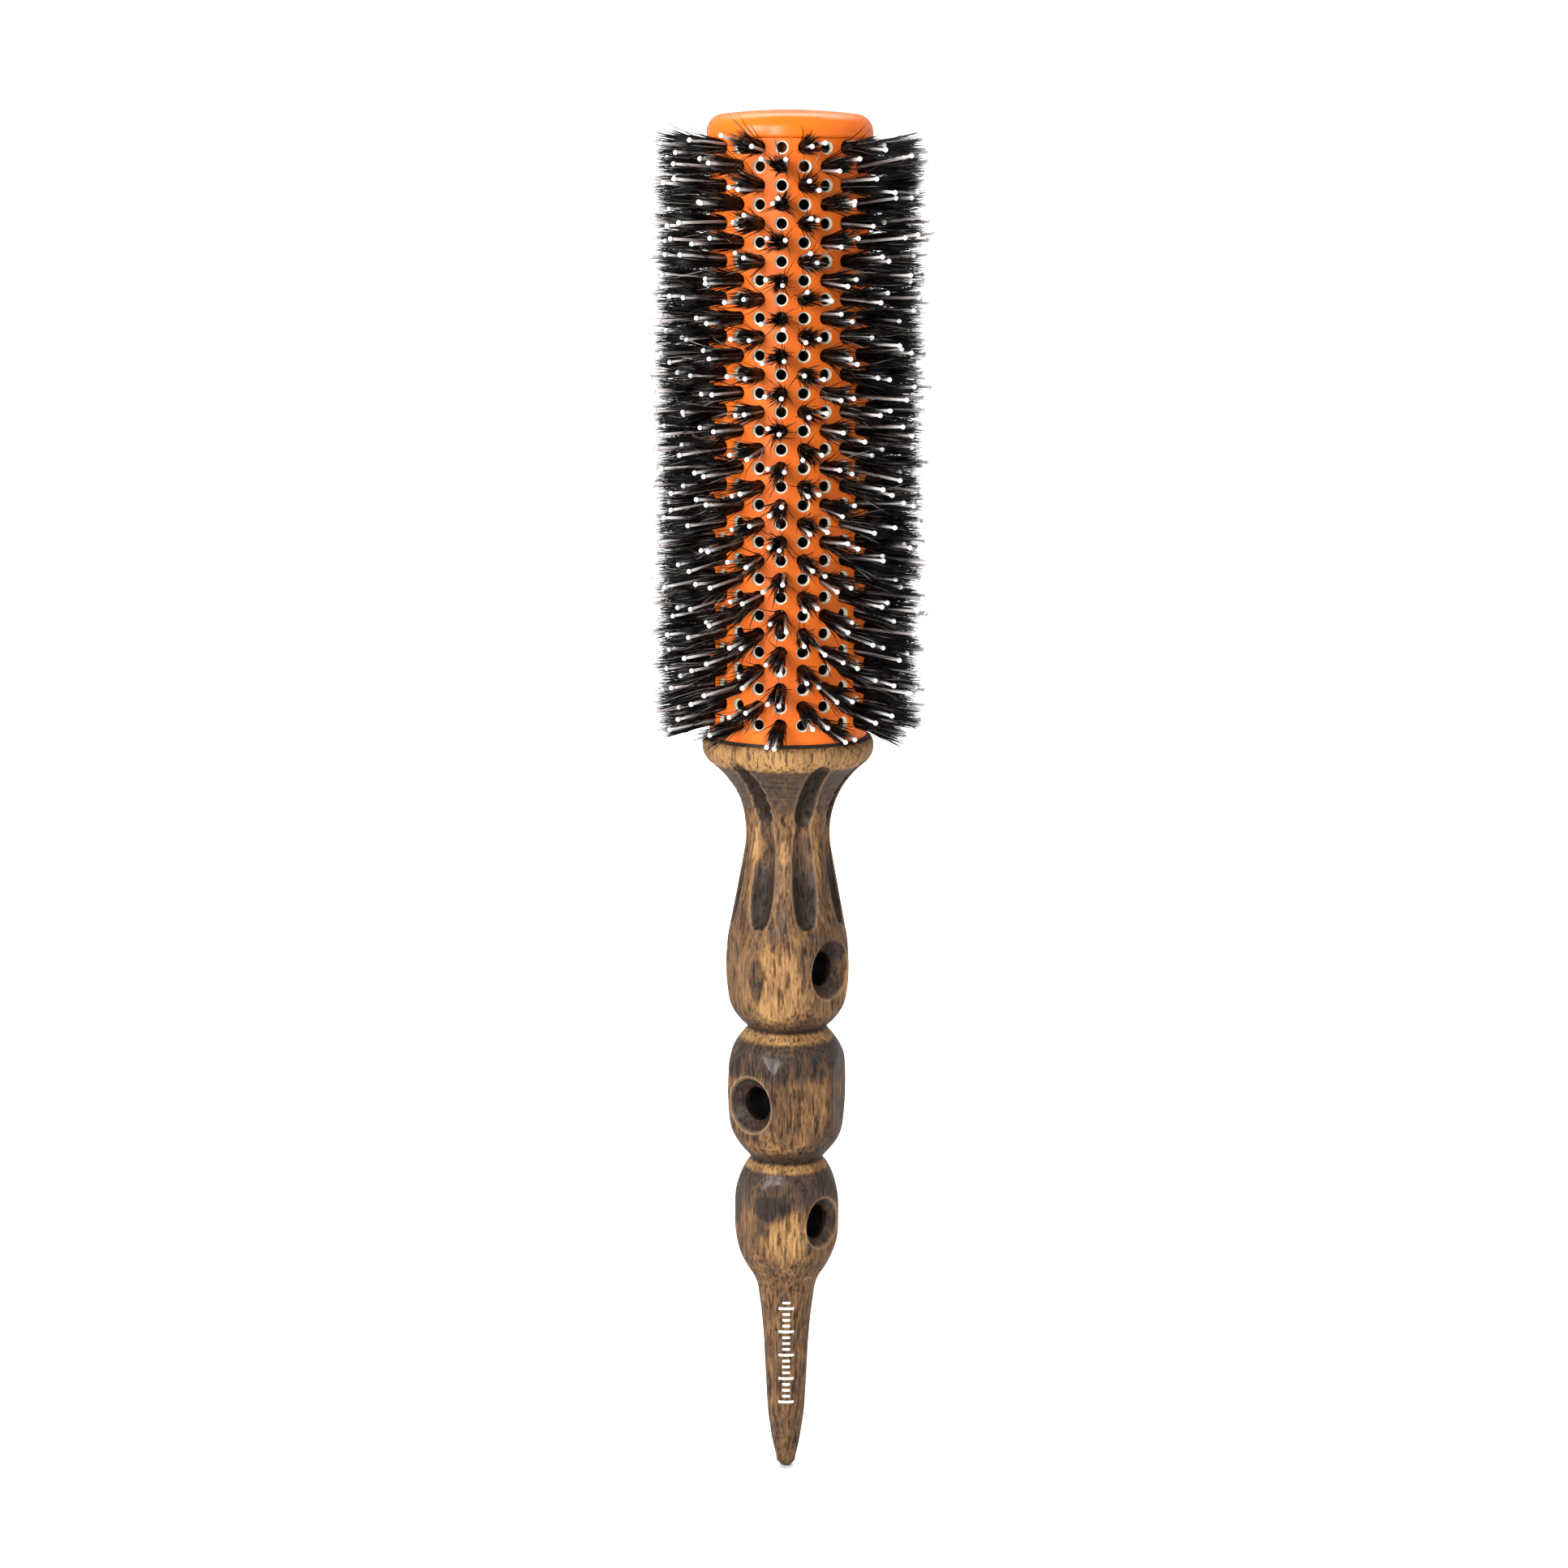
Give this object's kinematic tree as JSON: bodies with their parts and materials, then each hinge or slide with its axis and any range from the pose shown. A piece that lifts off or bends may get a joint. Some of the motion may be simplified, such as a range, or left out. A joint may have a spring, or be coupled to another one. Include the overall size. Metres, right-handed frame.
{
  "type": "round barrel hair brush",
  "caption": "Thermal round hair brush: pierced metal barrel with black bristle tufts and ball-ended pins, rounded end cap, and a turned, fluted wooden handle with cross holes.",
  "frame": {"origin": "tail tip of the handle, on the brush's axis, at the bottom centre of the bounding box", "axes": "+Z along the brush's axis from the tail tip towards the end cap; -Y is the front that the upper and lower cross holes are measured from, +X to the right of it"},
  "size_m": [0.0592, 0.0592, 0.2819],
  "materials": {
    "stained_beech": "turned and carved beech, grey-brown stain rubbed through to golden wood on the high places, satin oil",
    "black_rubber": "thin matte black ring",
    "orange_coating": "satin orange heat-resistant coating on pierced aluminium tube",
    "cream_plastic": "cream heat-resistant plastic, darkening inside the vents",
    "orange_plastic": "smooth semi-gloss orange moulding",
    "steel": "plain drawn steel",
    "black_bristle": "dense tufts of black bristle, each hair tapered, with a dull shine",
    "nylon_pin": "translucent grey nylon stems with white ball ends"
  },
  "bodies": {
    "root": {"handle": "stained_beech", "joint_ring": "black_rubber", "barrel_sleeve": "orange_coating", "brush_core": "cream_plastic", "end_cap": "orange_plastic", "lock_pin": "steel", "tuft_anchors": "steel", "tuft_column_01": "black_bristle", "tuft_column_02": "black_bristle", "tuft_column_03": "black_bristle", "tuft_column_04": "black_bristle", "tuft_column_05": "black_bristle", "tuft_column_06": "black_bristle", "tuft_column_07": "black_bristle", "tuft_column_08": "black_bristle", "tuft_column_09": "black_bristle", "tuft_column_10": "black_bristle", "tuft_column_11": "black_bristle", "tuft_column_12": "black_bristle", "tuft_column_13": "black_bristle", "tuft_column_14": "black_bristle", "tuft_column_15": "black_bristle", "tuft_column_16": "black_bristle", "tuft_column_17": "black_bristle", "tuft_column_18": "black_bristle", "tuft_column_19": "black_bristle", "tuft_column_20": "black_bristle", "tuft_column_21": "black_bristle", "tuft_column_22": "black_bristle", "pin_column_01": "nylon_pin", "pin_column_02": "nylon_pin", "pin_column_03": "nylon_pin", "pin_column_04": "nylon_pin", "pin_column_05": "nylon_pin", "pin_column_06": "nylon_pin", "pin_column_07": "nylon_pin", "pin_column_08": "nylon_pin", "pin_column_09": "nylon_pin", "pin_column_10": "nylon_pin", "pin_column_11": "nylon_pin", "pin_column_12": "nylon_pin", "pin_column_13": "nylon_pin", "pin_column_14": "nylon_pin", "pin_column_15": "nylon_pin", "pin_column_16": "nylon_pin", "pin_column_17": "nylon_pin", "pin_column_18": "nylon_pin", "pin_column_19": "nylon_pin", "pin_column_20": "nylon_pin", "pin_column_21": "nylon_pin", "pin_column_22": "nylon_pin"}
  },
  "joints": []
}
